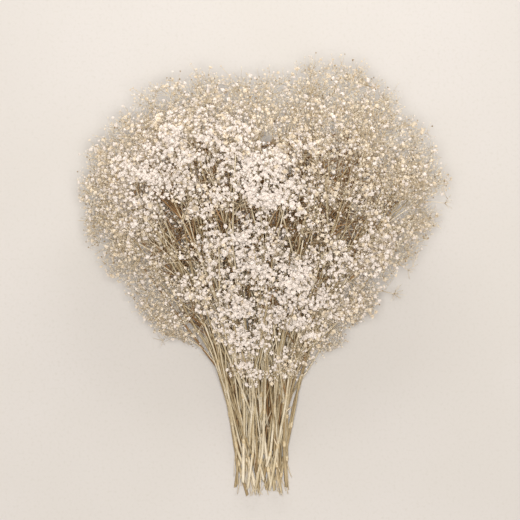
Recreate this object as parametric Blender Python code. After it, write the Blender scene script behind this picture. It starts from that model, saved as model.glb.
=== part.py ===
"""A bunch of dried gypsophila (baby's breath), lying on a table as cut, with no tie.

Every stem is one object: a stalk that bends a little at each joint, the twigs that fork from
it, and the florets and buds that end them, joined as they grew. The stalks lie in layers that
lean to opposite sides, so they cross where they are gathered, each layer on the one below. Above
that neck they fan out into the head. Florets are fewer and larger than life, buds are fewer at
their true size, and both reach all sides of the head and its furthest tips.

Metres. X is across the bunch, +Y runs from the cut ends to the flowers, +Z is up. The origin is
the centre of the base of the whole bunch's box, on the table.
"""

import math
import random
from types import SimpleNamespace

import bpy
import numpy as np
from mathutils import Vector

SEED = 23

# Stalks, counted from the layer on the table upwards
STALKS_PER_LAYER = (5, 6, 7, 7, 6, 5)
LAYER_RADII = (0.0019, 0.0016, 0.0018, 0.0015, 0.0017, 0.00175)
LAYER_LEANS = (0.13, -0.19, 0.16, -0.14, 0.20, -0.16)
STALK_SIDES = 5
STALK_TIP_RADIUS = 0.0008
STALK_TAPER = 0.8
TOUCH_GAP = 0.0003
STEM_DISC = 0.68
STEM_DISC_HEIGHT = 0.78
STEM_JITTER = 0.028
RADIUS_SPREAD = (0.94, 1.0)
LEAN_JITTER = 0.02

# The neck, where the stalks are gathered, and the fan above it
NECK_DISTANCE = 0.080
FAN_Y = -0.262
NECK_AXIS_HEIGHT = 0.0099
NECK_HALF_HEIGHT = 0.0140
AXIS_RISE = 0.312
HEIGHT_SPREAD = 0.300
FIRST_RISE = 0.6
LEAN_FADE = 0.070
TAIL_EASE = 0.030
SPREAD_DISTANCES = (0.080, 0.120, 0.160, 0.230, 0.380)
SPREAD = (0.86, 0.66, 0.60, 0.76, 1.10)
CUT_LENGTHS = (0.024, 0.042)
SHORT_CUT_LENGTHS = (0.013, 0.019)
SHORT_CUT_EVERY = 9
FIRST_INTERNODE = 0.050
INTERNODES = (0.048, 0.066)
JOINT_KINK = 0.0007
TIP_SETBACKS = (0.060, 0.085)

# The head: how far the flowers reach, at each angle from the bunch's axis, seen from above
HEAD_ANGLE = math.radians(31.5)
REACH_DEGREES = (-31.5, -29.5, -25.0, -17.0, -10.0, 0.0, 11.0, 17.0, 24.0, 28.5, 31.5)
REACH = (0.300, 0.378, 0.420, 0.464, 0.482, 0.472, 0.494, 0.470, 0.434, 0.400, 0.300)
CAP_ROUNDING = 0.25
LOWEST_SPRAY = 0.178
FLANK_STARTS = (0.055, 0.110)
HEAD_CORE_DISTANCE = 0.330

# Sprays: each is a twig from a stalk, which forks at its hub into three heads
SPRAYS = 104
SPRAY_TRIES = 26
STEMS_TRIED = 4
TWIGS_TRIED = 6
CAP_SHARE = 0.36
CAP_DEPTHS = (0.93, 1.0)
INNER_SHARE = 0.07
INNER_RING = 0.75
INNER_DEPTHS = (0.62, 0.80)
SKIN_RINGS = (0.88, 1.0)
SKIN_CROWDING = 0.7
OUTWARD_TURNS = (1.0, 1.7)
SPRAY_LENGTHS = (0.024, 0.033)
TWIG_RADII = (0.0005, 0.0007, 0.0009)
TWIG_LIFT = 1.45
TWIG_LIFT_SPREAD = (0.85, 1.1)
TWIG_BENDS = (0.45, 0.35, 0.4)
TIP_TWIG = (-0.004, 0.008, 0.020)
TIP_MARGIN = 0.012
SHORTEST_TWIG = 0.055
LOWEST_ROOT = 0.098
TABLE_CLEARANCE = 0.005

# Heads: florets are cup-shaped stars of five petals, buds are pointed spindles
PETALS = 5
FLORET_RADII = (0.0108, 0.0134)
NOTCH_SHARE = 0.70
CUP_DEPTH = 0.16
PETAL_LIFT = 0.22
PETAL_ROD_SHARE = 0.4
CALYX_DEPTH = 0.62
BUD_RADIUS = 0.0019
BUD_DEPTH = 0.0020
BUD_POINT = 0.0036
PEDICEL_RADIUS = 0.0006
FORK_HEIGHT = 0.0007
HEAD_SPREAD = math.radians(46)
SPREAD_RANGE = (0.7, 1.2)
TURN_JITTER = 0.35
PEDICEL_RANGE = (0.80, 1.0)
SAME_SPRAY_ROOM = 0.9
HEAD_TRIES = 30
MOST_SHRINK = 0.5

STALK_COLOUR = (0.52, 0.43, 0.27)
PETAL_COLOUR = (0.80, 0.74, 0.64)


def rise(distance):
    """How far the fan has opened in height: less than its distance at first, past the neck."""
    past = distance - NECK_DISTANCE
    return min(past, max(0.0, FIRST_RISE * past, past - (1 - FIRST_RISE) * FIRST_INTERNODE))


def axis_height(distance):
    """Height of the bunch's middle above the table, at a distance from the fan's origin."""
    return NECK_AXIS_HEIGHT + AXIS_RISE * rise(distance)


def half_height(distance):
    return NECK_HALF_HEIGHT + HEIGHT_SPREAD * rise(distance)


def place(u, w, distance):
    """A point in the fan: u across and w up, each from -1 to 1, and a distance from its origin."""
    angle = HEAD_ANGLE * u
    return Vector((
        distance * math.sin(angle),
        FAN_Y + distance * math.cos(angle),
        axis_height(distance) + half_height(distance) * w,
    ))


def head_reach(u, w):
    """How far from the fan's origin the flowers end, in the direction u, w."""
    plan = float(np.interp(math.degrees(HEAD_ANGLE * u), REACH_DEGREES, REACH))
    return plan * (1 - CAP_ROUNDING * w * w)


def layer_heights():
    """Heights of the layers' centre lines. A stalk has a flat side down and an edge up."""
    flat = math.cos(math.pi / STALK_SIDES)
    heights = [LAYER_RADII[0] * flat]
    for below, radius in zip(LAYER_RADII, LAYER_RADII[1:]):
        heights.append(heights[-1] + below + TOUCH_GAP + radius * flat)
    return heights


def stalk_point(stem, distance):
    """The stalk's centre line, from its cut end, below the neck, to its tip in the head."""
    spread = float(np.interp(distance, SPREAD_DISTANCES, SPREAD))
    if distance >= NECK_DISTANCE:
        past = distance - NECK_DISTANCE
        point = place(stem.u * spread, stem.w, distance)
        point.x -= stem.lean * past * math.exp(-past / LEAN_FADE)
    else:
        below = NECK_DISTANCE - distance
        point = place(stem.u * spread, stem.w, NECK_DISTANCE)
        slope = math.tan(HEAD_ANGLE * stem.u * spread)
        point.x += stem.lean * below - slope * below * math.exp(-below / TAIL_EASE)
        point.y -= below
    point.x += float(np.interp(distance, stem.joints, stem.kinks))
    return point


def stalk_at(stem, distance):
    """A point of the stalk as it is made: straight from each joint to the next."""
    above = next(k for k, joint in enumerate(stem.joints) if joint >= distance)
    low, high = stem.joints[above - 1], stem.joints[above]
    return stalk_point(stem, low).lerp(stalk_point(stem, high), (distance - low) / (high - low))


def stalk_radius(stem, distance):
    """Even up to the neck, then thinner towards the tip."""
    share = max(0.0, (distance - NECK_DISTANCE) / (stem.joints[-1] - NECK_DISTANCE))
    return stem.radius + (STALK_TIP_RADIUS - stem.radius) * share ** STALK_TAPER


def make_stems(draw):
    """The stalks of all layers, with their joints as distances from the fan's origin.

    All have a joint where the neck ends and at the first internode above it. Below the neck the
    stalks lie level, and above it they rise in two steps.
    """
    stems = []
    for layer, (count, height) in enumerate(zip(STALKS_PER_LAYER, layer_heights())):
        w = (height - NECK_AXIS_HEIGHT) / NECK_HALF_HEIGHT
        chord = STEM_DISC * math.sqrt(1 - (w / STEM_DISC_HEIGHT) ** 2)
        for place_in_layer in range(count):
            number = len(stems)
            across = 2 * place_in_layer / (count - 1) - 1
            short = number % SHORT_CUT_EVERY == SHORT_CUT_EVERY - 2
            cut = NECK_DISTANCE - draw.uniform(*(SHORT_CUT_LENGTHS if short else CUT_LENGTHS))
            stem = SimpleNamespace(
                number=number,
                name=f"stem_{number + 1:02d}",
                u=chord * across + draw.uniform(-STEM_JITTER, STEM_JITTER),
                w=w,
                radius=LAYER_RADII[layer] * (draw.uniform(*RADIUS_SPREAD) if layer else 1),
                lean=LAYER_LEANS[layer] + draw.uniform(-LEAN_JITTER, LEAN_JITTER),
                sprays=[],
            )
            tip = head_reach(stem.u, stem.w) - draw.uniform(*TIP_SETBACKS)
            second = NECK_DISTANCE + FIRST_INTERNODE
            steps = round((tip - second) / draw.uniform(*INTERNODES))
            pitch = (tip - second) / steps
            stem.joints = [cut, NECK_DISTANCE] + [second + pitch * step for step in range(steps + 1)]
            side = draw.choice((-1, 1))
            stem.kinks = [side * (-1) ** step * JOINT_KINK for step in range(steps + 3)]
            stems.append(stem)
    return stems


def spray_candidate(draw):
    """A random place on the head's skin, or a little inside it, as u, w and distance."""
    kind = draw.random()
    turn = draw.uniform(0, 2 * math.pi)
    if kind < CAP_SHARE:
        ring = math.sqrt(draw.random())
        share = draw.uniform(*CAP_DEPTHS)
    elif kind < CAP_SHARE + INNER_SHARE:
        ring = INNER_RING * math.sqrt(draw.random())
        share = draw.uniform(*INNER_DEPTHS)
    else:
        ring = draw.uniform(*SKIN_RINGS)
        share = None
    u = ring * math.cos(turn)
    w = ring * math.sin(turn)
    furthest = head_reach(u, w)
    if share is None:
        lowest = LOWEST_SPRAY + FLANK_STARTS[u > 0] * u * u
        return u, w, lowest + (furthest - lowest) * draw.random() ** SKIN_CROWDING
    return u, w, furthest * share


def spray_tips(draw):
    """Tips of the sprays, spread evenly: of several random places, the one with most room."""
    chosen = []
    while len(chosen) < SPRAYS:
        best = None
        for _ in range(SPRAY_TRIES):
            u, w, distance = spray_candidate(draw)
            tip = place(u, w, distance)
            tip.z = max(tip.z, TABLE_CLEARANCE)
            room = min([(tip - other).length for other in chosen], default=1.0)
            if best is None or room > best[0]:
                best = (room, tip)
        chosen.append(best[1])
    return chosen


def curve_point(start, control, end, t):
    """A point of the quadratic curve that leaves start towards control and ends at end."""
    return start.lerp(control, t).lerp(control.lerp(end, t), t)


def segment_gaps(start, end, starts, ends):
    """Shortest distances from one segment to each of many, as arrays of points."""
    along = end - start
    others = ends - starts
    between = start - starts
    a = float(along @ along)
    e = np.einsum("ij,ij->i", others, others)
    b = others @ along
    c = between @ along
    f = np.einsum("ij,ij->i", others, between)
    denominator = a * e - b * b
    safe = np.where(denominator > 1e-16, denominator, 1.0)
    s = np.where(denominator > 1e-16, np.clip((b * f - c * e) / safe, 0, 1), 0.0)
    t = np.clip((b * s + f) / e, 0, 1)
    s = np.clip((b * t - c) / a, 0, 1)
    apart = (start + along * s[:, None]) - (starts + others * t[:, None])
    return np.linalg.norm(apart, axis=1)


class Occupied:
    """What is already placed, as rods with round ends, each with its stem's number."""

    def __init__(self):
        self.starts = np.zeros((0, 3))
        self.ends = np.zeros((0, 3))
        self.radii = np.zeros(0)
        self.owners = np.zeros(0, dtype=int)

    def add(self, owner, rods):
        for start, end, radius in rods:
            self.starts = np.vstack((self.starts, start))
            self.ends = np.vstack((self.ends, end))
            self.radii = np.append(self.radii, radius)
            self.owners = np.append(self.owners, owner)

    def room(self, owner, rods):
        """The smallest gap from these rods to what other stems hold."""
        others = self.owners != owner
        starts = self.starts[others]
        ends = self.ends[others]
        radii = self.radii[others]
        return min(
            (segment_gaps(np.array(start), np.array(end), starts, ends) - radii).min() - radius
            for start, end, radius in rods
        )


def rods_along(points, radius):
    return [(start, end, radius) for start, end in zip(points, points[1:])]


def sideways(axis, draw):
    """A random direction square to an axis."""
    other = Vector((draw.gauss(0, 1), draw.gauss(0, 1), draw.gauss(0, 1)))
    return (other - axis * other.dot(axis)).normalized()


def make_spray(draw, stem, tip, length):
    """A spray of the stem that ends at tip: its twig's path, its hub and its direction."""
    core = place(0, 0, HEAD_CORE_DISTANCE)
    ray = (tip - Vector((0, FAN_Y, 0))).normalized()
    outward = (tip - core).normalized()
    axis = (ray + outward * draw.uniform(*OUTWARD_TURNS)).normalized()
    hub = tip - axis * length
    hub.z = max(hub.z, TABLE_CLEARANCE)
    distance = (hub - Vector((0, FAN_Y, NECK_AXIS_HEIGHT))).length
    beside = (hub - stalk_point(stem, min(distance, stem.joints[-1]))).length
    root = distance - max(SHORTEST_TWIG, TWIG_LIFT * beside) * draw.uniform(*TWIG_LIFT_SPREAD)
    root = min(max(root, LOWEST_ROOT), stem.joints[-1] - TIP_MARGIN)
    start = stalk_at(stem, root)
    onward = (stalk_at(stem, root + 0.01) - start).normalized()
    leaving, arriving, blend = TWIG_BENDS
    control = start + onward * leaving * (hub - start).length
    control = control.lerp(hub - axis * arriving * (hub - start).length, blend)
    path = [curve_point(start, control, hub, t) for t in (0.0, 0.5, 1.0)]
    return SimpleNamespace(path=path, hub=hub, axis=axis, length=length, sideways=sideways(axis, draw))


def tip_spray(stem, draw):
    """The spray that ends the stalk, on a twig that goes on from its last joint."""
    end = stalk_point(stem, stem.joints[-1])
    axis = (end - stalk_point(stem, stem.joints[-2])).normalized()
    path = [end + axis * step for step in TIP_TWIG]
    length = draw.uniform(*SPRAY_LENGTHS)
    return SimpleNamespace(path=path, hub=path[2], axis=axis, length=length, sideways=sideways(axis, draw))


def grow(draw):
    """Every stem with its sprays. A twig that would touch another stem is bent clear of it."""
    stems = make_stems(draw)
    occupied = Occupied()
    for stem in stems:
        occupied.add(stem.number, rods_along([stalk_point(stem, d) for d in stem.joints], stem.radius))
        stem.sprays.append(tip_spray(stem, draw))
        occupied.add(stem.number, rods_along(stem.sprays[0].path, TWIG_RADII[2]))
    for tip in spray_tips(draw):
        distance = min((tip - Vector((0, FAN_Y, 0))).length, 0.4)
        near = sorted(stems, key=lambda s: (stalk_point(s, distance) - tip).length)
        length = draw.uniform(*SPRAY_LENGTHS)
        owners = [stem for stem in near[:STEMS_TRIED] for _ in range(TWIGS_TRIED)]
        for stem in owners:
            spray = make_spray(draw, stem, tip, length)
            rods = rods_along(spray.path, TWIG_RADII[2])
            if occupied.room(stem.number, rods) > TOUCH_GAP:
                occupied.add(stem.number, rods)
                stem.sprays.append(spray)
                break
    return stems, occupied


def ring(centre, direction, radii, towards):
    """Points round a centre, one for each radius, the first on the side that faces towards."""
    across = (towards - direction * towards.dot(direction)).normalized()
    up = direction.cross(across)
    points = []
    for step, radius in enumerate(radii):
        angle = 2 * math.pi * step / len(radii)
        points.append(centre + across * (radius * math.cos(angle)) + up * (radius * math.sin(angle)))
    return points


class Solid:
    """Points and faces of one closed body, built ring by ring."""

    def __init__(self):
        self.points = []
        self.faces = []
        self.petal_faces = []

    def add(self, points):
        first = len(self.points)
        self.points.extend(points)
        return list(range(first, first + len(points)))

    def bridge(self, low, high):
        """Joins two rings that may have different counts, stepping round by angle."""
        i = 0
        j = 0
        while i < len(low) or j < len(high):
            a = low[i % len(low)]
            b = high[j % len(high)]
            if j >= len(high) or (i < len(low) and (i + 1) / len(low) <= (j + 1) / len(high)):
                self.faces.append((a, low[(i + 1) % len(low)], b))
                i += 1
            else:
                self.faces.append((a, high[(j + 1) % len(high)], b))
                j += 1

    def fan(self, loop, apex):
        for a, b in zip(loop, loop[1:] + loop[:1]):
            self.faces.append((a, b, apex))


def floret_rim(head):
    """The ten corners of a floret of five petals: tips, lifted, and the notches between them."""
    radii = [head.radius if step % 2 == 0 else head.radius * NOTCH_SHARE for step in range(2 * PETALS)]
    rim = ring(head.centre, head.direction, radii, head.towards)
    for step in range(0, 2 * PETALS, 2):
        rim[step] += head.direction * (PETAL_LIFT * head.radius)
    return rim


def add_head(solid, loop, head):
    """A pedicel from a loop of three points, with the cup of petals or the bud that ends it."""
    calyx = head.centre - head.direction * head.depth
    neck = solid.add(ring(calyx, head.direction, [PEDICEL_RADIUS] * 3, head.towards))
    solid.bridge(loop, neck)
    first = len(solid.faces)
    if head.kind == "floret":
        belly = solid.add(floret_rim(head))
        apex = head.centre - head.direction * (CUP_DEPTH * head.radius)
    else:
        belly = solid.add(ring(head.centre, head.direction, [head.radius] * 3, head.towards))
        apex = head.centre + head.direction * BUD_POINT
    solid.bridge(neck, belly)
    solid.fan(belly, solid.add([apex])[0])
    solid.petal_faces.extend(range(first, len(solid.faces)))


def spray_solid(spray, heads):
    """A three-sided twig, closed at its root. Its last ring forks into three pedicels."""
    solid = Solid()
    path = spray.path
    headings = [(path[1] - path[0]).normalized(), (path[2] - path[0]).normalized(), spray.axis]
    rings = [ring(path[2], spray.axis, [TWIG_RADII[2]] * 3, spray.sideways)]
    for index in (1, 0):
        towards = rings[0][0] - path[index + 1]
        rings.insert(0, ring(path[index], headings[index], [TWIG_RADII[index]] * 3, towards))
    loops = [solid.add(points) for points in rings]
    solid.faces.append((loops[0][2], loops[0][1], loops[0][0]))
    for low, high in zip(loops, loops[1:]):
        solid.bridge(low, high)
    fork = loops[-1]
    apex = solid.add([spray.hub + spray.axis * FORK_HEIGHT])[0]
    for side, head in enumerate(heads):
        loop = [fork[side], fork[(side + 1) % 3], apex]
        if head is None:
            solid.faces.append(tuple(loop))
        else:
            add_head(solid, loop, head)
    return solid


def stalk_solid(stem):
    """The stalk: five sides, an edge up and a flat side down, with a slight bend at each joint."""
    solid = Solid()
    loops = []
    points = [stalk_point(stem, d) for d in stem.joints]
    for index, (point, distance) in enumerate(zip(points, stem.joints)):
        before = points[max(index - 1, 0)]
        after = points[min(index + 1, len(points) - 1)]
        radii = [stalk_radius(stem, distance)] * STALK_SIDES
        loops.append(solid.add(ring(point, (after - before).normalized(), radii, Vector((0, 0, 1)))))
    for low, high in zip(loops, loops[1:]):
        solid.bridge(low, high)
    solid.faces.append(tuple(reversed(loops[0])))
    solid.faces.append(tuple(loops[-1]))
    return solid


def head_at(base, direction, length, kind, radius, towards):
    """A head on its pedicel. One that would reach under the table is lifted to rest on it."""
    centre = base + direction * length
    level = math.sqrt(1 - direction.z ** 2)
    down = max(0.0, -direction.z)
    if kind == "floret":
        depth = CALYX_DEPTH * radius
        centre.z = max(centre.z, radius * (level + PETAL_LIFT * down))
    else:
        depth = BUD_DEPTH
        centre.z = max(centre.z, radius * level, BUD_POINT * down)
    return SimpleNamespace(
        centre=centre, direction=direction, radius=radius, depth=depth, kind=kind, towards=towards
    )


def head_rods(spray, head):
    """The rods that stand for a head and its pedicel."""
    calyx = head.centre - head.direction * head.depth
    rods = [(spray.hub, calyx, PEDICEL_RADIUS)]
    if head.kind == "bud":
        rods.append((calyx, head.centre + head.direction * 0.5 * BUD_POINT, head.radius))
    else:
        thick = PETAL_ROD_SHARE * head.radius
        rods.append((calyx.lerp(head.centre, PETAL_ROD_SHARE), head.centre, thick))
        for tip in floret_rim(head)[::2]:
            rods.append((head.centre, tip.lerp(head.centre, PETAL_ROD_SHARE), thick))
    return rods


def heads_of(stem, spray, occupied, draw):
    """The heads of a spray, one for each side of its fork, clear of what other stems hold."""
    up = spray.axis.cross(spray.sideways)
    bud_side = draw.randrange(3)
    heads = []
    for side in range(3):
        kind = "bud" if side == bud_side else "floret"
        corner = 2 * side * math.pi / 3
        towards = spray.sideways * math.cos(corner) + up * math.sin(corner)
        heads.append(None)
        for attempt in range(HEAD_TRIES):
            around = corner + math.pi / 3 + draw.uniform(-TURN_JITTER, TURN_JITTER)
            tilt = HEAD_SPREAD * draw.uniform(*SPREAD_RANGE)
            outward = spray.sideways * math.cos(around) + up * math.sin(around)
            direction = (spray.axis * math.cos(tilt) + outward * math.sin(tilt)).normalized()
            scale = 1 - MOST_SHRINK * attempt / HEAD_TRIES
            length = spray.length * draw.uniform(*PEDICEL_RANGE) * scale
            radius = scale * draw.uniform(*FLORET_RADII) if kind == "floret" else BUD_RADIUS
            head = head_at(spray.hub, direction, length, kind, radius, towards)
            apart = [
                (head.centre - other.centre).length - SAME_SPRAY_ROOM * (head.radius + other.radius)
                for other in heads
                if other
            ]
            rods = head_rods(spray, head)
            if min(apart, default=1.0) > TOUCH_GAP and occupied.room(stem.number, rods) > TOUCH_GAP:
                occupied.add(stem.number, rods)
                heads[side] = head
                break
    return heads


def material(name, colour):
    made = bpy.data.materials.new(name)
    made.use_nodes = True
    shader = made.node_tree.nodes["Principled BSDF"]
    shader.inputs["Base Color"].default_value = (*colour, 1.0)
    shader.inputs["Roughness"].default_value = 0.8
    shader.inputs["Metallic"].default_value = 0.0
    return made


def object_of(name, solid, origin, finishes, collection):
    points = [point - origin for point in solid.points]
    mesh = bpy.data.meshes.new(name)
    mesh.from_pydata(points, [], solid.faces)
    for finish in finishes:
        mesh.materials.append(finish)
    for face in solid.petal_faces:
        mesh.polygons[face].material_index = 1
    made = bpy.data.objects.new(name, mesh)
    made.location = origin
    collection.objects.link(made)
    return made


def join(stalk, collection):
    """Joins the stalk with all twigs and heads of the collection into one closed body."""
    union = stalk.modifiers.new("join", "BOOLEAN")
    union.operation = "UNION"
    union.operand_type = "COLLECTION"
    union.collection = collection
    union.solver = "MANIFOLD"
    bpy.context.view_layer.update()
    graph = bpy.context.evaluated_depsgraph_get()
    joined = bpy.data.meshes.new_from_object(stalk.evaluated_get(graph))
    stalk.modifiers.clear()
    stalk.data = joined
    for part in list(collection.objects):
        bpy.data.objects.remove(part)
    bpy.data.collections.remove(collection)


def build_stem(stem, occupied, draw, finishes):
    scene_collection = bpy.context.scene.collection
    origin = stalk_point(stem, stem.joints[0])
    stalk = object_of(stem.name, stalk_solid(stem), origin, finishes, scene_collection)
    twigs = bpy.data.collections.new(stem.name + "_twigs")
    scene_collection.children.link(twigs)
    for spray in stem.sprays:
        heads = heads_of(stem, spray, occupied, draw)
        if any(heads):
            object_of("twig", spray_solid(spray, heads), origin, finishes, twigs)
    if twigs.objects:
        join(stalk, twigs)
    return stalk


def centre_on_table(stems):
    """Parents all stems to an empty that puts the origin under the middle of their box."""
    points = [stem.matrix_world @ vertex.co for stem in stems for vertex in stem.data.vertices]
    low = Vector([min(p[k] for p in points) for k in range(3)])
    high = Vector([max(p[k] for p in points) for k in range(3)])
    bunch = bpy.data.objects.new("bunch", None)
    bpy.context.scene.collection.objects.link(bunch)
    bunch.location = (-(low.x + high.x) / 2, -(low.y + high.y) / 2, -low.z)
    for stem in stems:
        stem.parent = bunch


def main():
    for old in list(bpy.data.objects):
        bpy.data.objects.remove(old)
    finishes = [material("dried_stalk", STALK_COLOUR), material("dried_petal", PETAL_COLOUR)]
    stems, occupied = grow(random.Random(SEED))
    draw = random.Random(SEED + 1)
    objects = [build_stem(stem, occupied, draw, finishes) for stem in stems]
    bpy.context.view_layer.update()
    centre_on_table(objects)


main()
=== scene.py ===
"""The looks of a dried gypsophila bunch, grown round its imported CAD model.

The layout repeats the part's source, so the stalks are where the CAD's are. INNER_RING is the one
number that differs, and because of it the sprays stand elsewhere than the CAD's. Each stem becomes
two pieces: its branches, which are the stalk with its swollen joints, the side shoots, the twigs
and the hair-thin pedicels, and its florets, from wide open ones to closed buds.
"""

import functools
import math
import random
from types import SimpleNamespace

import bpy
import numpy as np
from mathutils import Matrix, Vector, noise
from mathutils.kdtree import KDTree


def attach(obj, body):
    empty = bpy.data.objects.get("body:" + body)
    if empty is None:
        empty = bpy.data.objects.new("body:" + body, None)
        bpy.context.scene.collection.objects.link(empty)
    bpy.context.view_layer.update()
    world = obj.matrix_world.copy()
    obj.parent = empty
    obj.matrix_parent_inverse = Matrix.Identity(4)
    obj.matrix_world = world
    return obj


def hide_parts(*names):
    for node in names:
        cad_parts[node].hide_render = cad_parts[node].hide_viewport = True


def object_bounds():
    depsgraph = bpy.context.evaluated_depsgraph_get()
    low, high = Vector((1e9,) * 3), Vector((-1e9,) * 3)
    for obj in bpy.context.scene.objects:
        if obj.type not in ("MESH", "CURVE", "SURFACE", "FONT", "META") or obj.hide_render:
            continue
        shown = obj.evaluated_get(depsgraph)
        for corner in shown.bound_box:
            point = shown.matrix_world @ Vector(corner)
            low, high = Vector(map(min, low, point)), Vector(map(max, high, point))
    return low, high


SEED = 23

# Stalks, counted from the layer on the table upwards
STALKS_PER_LAYER = (5, 6, 7, 7, 6, 5)
LAYER_RADII = (0.0019, 0.0016, 0.0018, 0.0015, 0.0017, 0.00175)
LAYER_LEANS = (0.13, -0.19, 0.16, -0.14, 0.20, -0.16)
STALK_SIDES = 5
STALK_TIP_RADIUS = 0.0008
STALK_TAPER = 0.8
TOUCH_GAP = 0.0003
STEM_DISC = 0.68
STEM_DISC_HEIGHT = 0.78
STEM_JITTER = 0.028
RADIUS_SPREAD = (0.94, 1.0)
LEAN_JITTER = 0.02
HEADING_STEP = 0.01
PARALLEL = 1e-16

# The neck, where the stalks are gathered, and the fan above it
NECK_DISTANCE = 0.080
FAN_Y = -0.262
NECK_AXIS_HEIGHT = 0.0099
NECK_HALF_HEIGHT = 0.0140
AXIS_RISE = 0.312
HEIGHT_SPREAD = 0.300
FIRST_RISE = 0.6
LEAN_FADE = 0.070
TAIL_EASE = 0.030
SPREAD_DISTANCES = (0.080, 0.120, 0.160, 0.230, 0.380)
SPREAD = (0.86, 0.66, 0.60, 0.76, 1.10)
CUT_LENGTHS = (0.024, 0.042)
SHORT_CUT_LENGTHS = (0.013, 0.019)
SHORT_CUT_EVERY = 9
FIRST_INTERNODE = 0.050
INTERNODES = (0.048, 0.066)
JOINT_KINK = 0.0007
TIP_SETBACKS = (0.060, 0.085)

# The head: how far the flowers reach, at each angle from the bunch's axis, seen from above
HEAD_ANGLE = math.radians(31.5)
REACH_DEGREES = (-31.5, -29.5, -25.0, -17.0, -10.0, 0.0, 11.0, 17.0, 24.0, 28.5, 31.5)
REACH = (0.300, 0.378, 0.420, 0.464, 0.482, 0.472, 0.494, 0.470, 0.434, 0.400, 0.300)
CAP_ROUNDING = 0.25
LOWEST_SPRAY = 0.178
FLANK_STARTS = (0.055, 0.110)
HEAD_CORE_DISTANCE = 0.330

# Sprays: each is a twig from a stalk, which forks at its hub into three heads
SPRAYS = 104
SPRAY_TRIES = 26
STEMS_TRIED = 4
FARTHEST_STALK = 0.4
TWIGS_TRIED = 6
CAP_SHARE = 0.36
CAP_DEPTHS = (0.93, 1.0)
INNER_SHARE = 0.07
# 0.75 in the part's source: back at that, the sprays would be the CAD's
INNER_RING = 0.8
INNER_DEPTHS = (0.62, 0.80)
SKIN_RINGS = (0.88, 1.0)
SKIN_CROWDING = 0.7
OUTWARD_TURNS = (1.0, 1.7)
SPRAY_LENGTHS = (0.024, 0.033)
TWIG_RADII = (0.0005, 0.0007, 0.0009)
TWIG_LIFT = 1.45
TWIG_LIFT_SPREAD = (0.85, 1.1)
TWIG_BENDS = (0.45, 0.35, 0.4)
TIP_TWIG = (-0.004, 0.008, 0.020)
TIP_MARGIN = 0.012
SHORTEST_TWIG = 0.055
LOWEST_ROOT = 0.098
TABLE_CLEARANCE = 0.005

# Heads: florets are cup-shaped stars of five petals, buds are pointed spindles
PETALS = 5
FLORET_RADII = (0.0108, 0.0134)
PETAL_LIFT = 0.22
PETAL_ROD_SHARE = 0.4
CALYX_DEPTH = 0.62
BUD_RADIUS = 0.0019
BUD_DEPTH = 0.0020
BUD_POINT = 0.0036
BUD_ROD_SHARE = 0.5
PEDICEL_RADIUS = 0.0006
HEAD_SPREAD = math.radians(46)
SPREAD_RANGE = (0.7, 1.2)
TURN_JITTER = 0.35
PEDICEL_RANGE = (0.80, 1.0)
SAME_SPRAY_ROOM = 0.9
HEAD_TRIES = 30
MOST_SHRINK = 0.5

# Numbers of the finishes: of the branches, and of the florets
STALK, WEATHERED_AND_SHADED, JOINT, PITH, TWIG, INNER = range(6)
CALYX, FRESH, AGED, BUD, SPENT = range(5)

# Fine stalks: rounder, ringed, swollen at the joints and cut at a slant
FINE_SEED = 71
STALK_ROUND = 8
RING_SPACING = 0.009
JOINT_RINGS = (-0.0034, -0.0018, 0.0, 0.0018, 0.0034)
RING_ROOM = 0.0015
FIRST_KNOTS = (0.008, 0.050)
KNOT_SPACING = 0.044
KNOT_SPREAD = (0.85, 1.2)
SLIMMING = (0.95, 0.62)
STALK_THICKNESS = (0.74, 1.06)
# Shares of stalks with the darker weathered skin, upper layers then lower: on the lower layers it is mostly
# painted shade for the underside of the bundle
WEATHERED_AND_SHADED_SHARES = (0.25, 0.95)
SWELLING = 0.34
SWELLING_LENGTH = 0.0022
WAVE = 0.0003
PITH_DEPTH = 0.0006
PITH_SHARES = (0.5, 0.86)
CUT_BEVEL = 0.0002
CUT_SLANTS = (0.2, 0.9)
CUT_END_DEPTH = 0.0015

# Side shoots, stubs, and the fibres that hang from the lowest joints
SHOOTS_PER_JOINT = (0, 5)
SHOOT_LENGTHS = (0.060, 0.130)
SHOOT_LEANS = (0.12, 0.55)
UPWARD_SHARE = 0.7
SHOOT_RING = 0.9
# Shoots that head further down than this take the browned twig skin, as painted shade under the bundle
BROWNED_AND_SHADED_BELOW = -0.15
SHOOT_TESTS = (0.25, 0.5, 0.75, 1.0)
SHOOT_BOW = 0.06
SHOOT_FORKS = (2, 3)
SHOOT_FORK = 0.30
SHOOT_RADII = (0.0011, 0.0006)
SHOOT_THICKNESS = (0.5, 1.2)
SHOOT_ENDS = (0.015, 0.040)
SHOOT_END_RADII = (0.0006, 0.0003)
HANGING_ASIDE = (0.002, 0.008)
HANGING_LENGTHS = (0.016, 0.040)
HANGING_RADII = (0.0006, 0.0003)
STUB_CHANCE = 0.3
STUB_LEAN = 0.7
STUB_LENGTHS = (0.003, 0.010)
STUB_RADII = (0.0009, 0.0007)

# Thin stalks deep in the bundle, browned and darker still as painted shade in its gaps
DEEP_STALKS = 7
DEEP_STARTS = (0.075, 0.150)
DEEP_LENGTHS = (0.040, 0.080)
DEEP_SPREAD = (0.004, 0.002, 0.001)
DEEP_HEIGHTS = (0.25, 0.75)
DEEP_RADII = (0.0014, 0.0010)
DEEP_SETBACK = 0.006

# Twigs inside the head, each in two runs, browned and darker still as painted shade
INNER_TWIGS = 50
INNER_LOWEST = -0.050
INNER_FROM = 0.170
INNER_ALONG = (0.3, 1.2)
INNER_STRAYS = (0.8, 0.6)
INNER_LENGTHS = (0.015, 0.040)
INNER_RADII = (0.0007, 0.0005, 0.0003)
INNER_SETBACK = 0.028
INNER_TWIG_RING = 0.8

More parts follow.
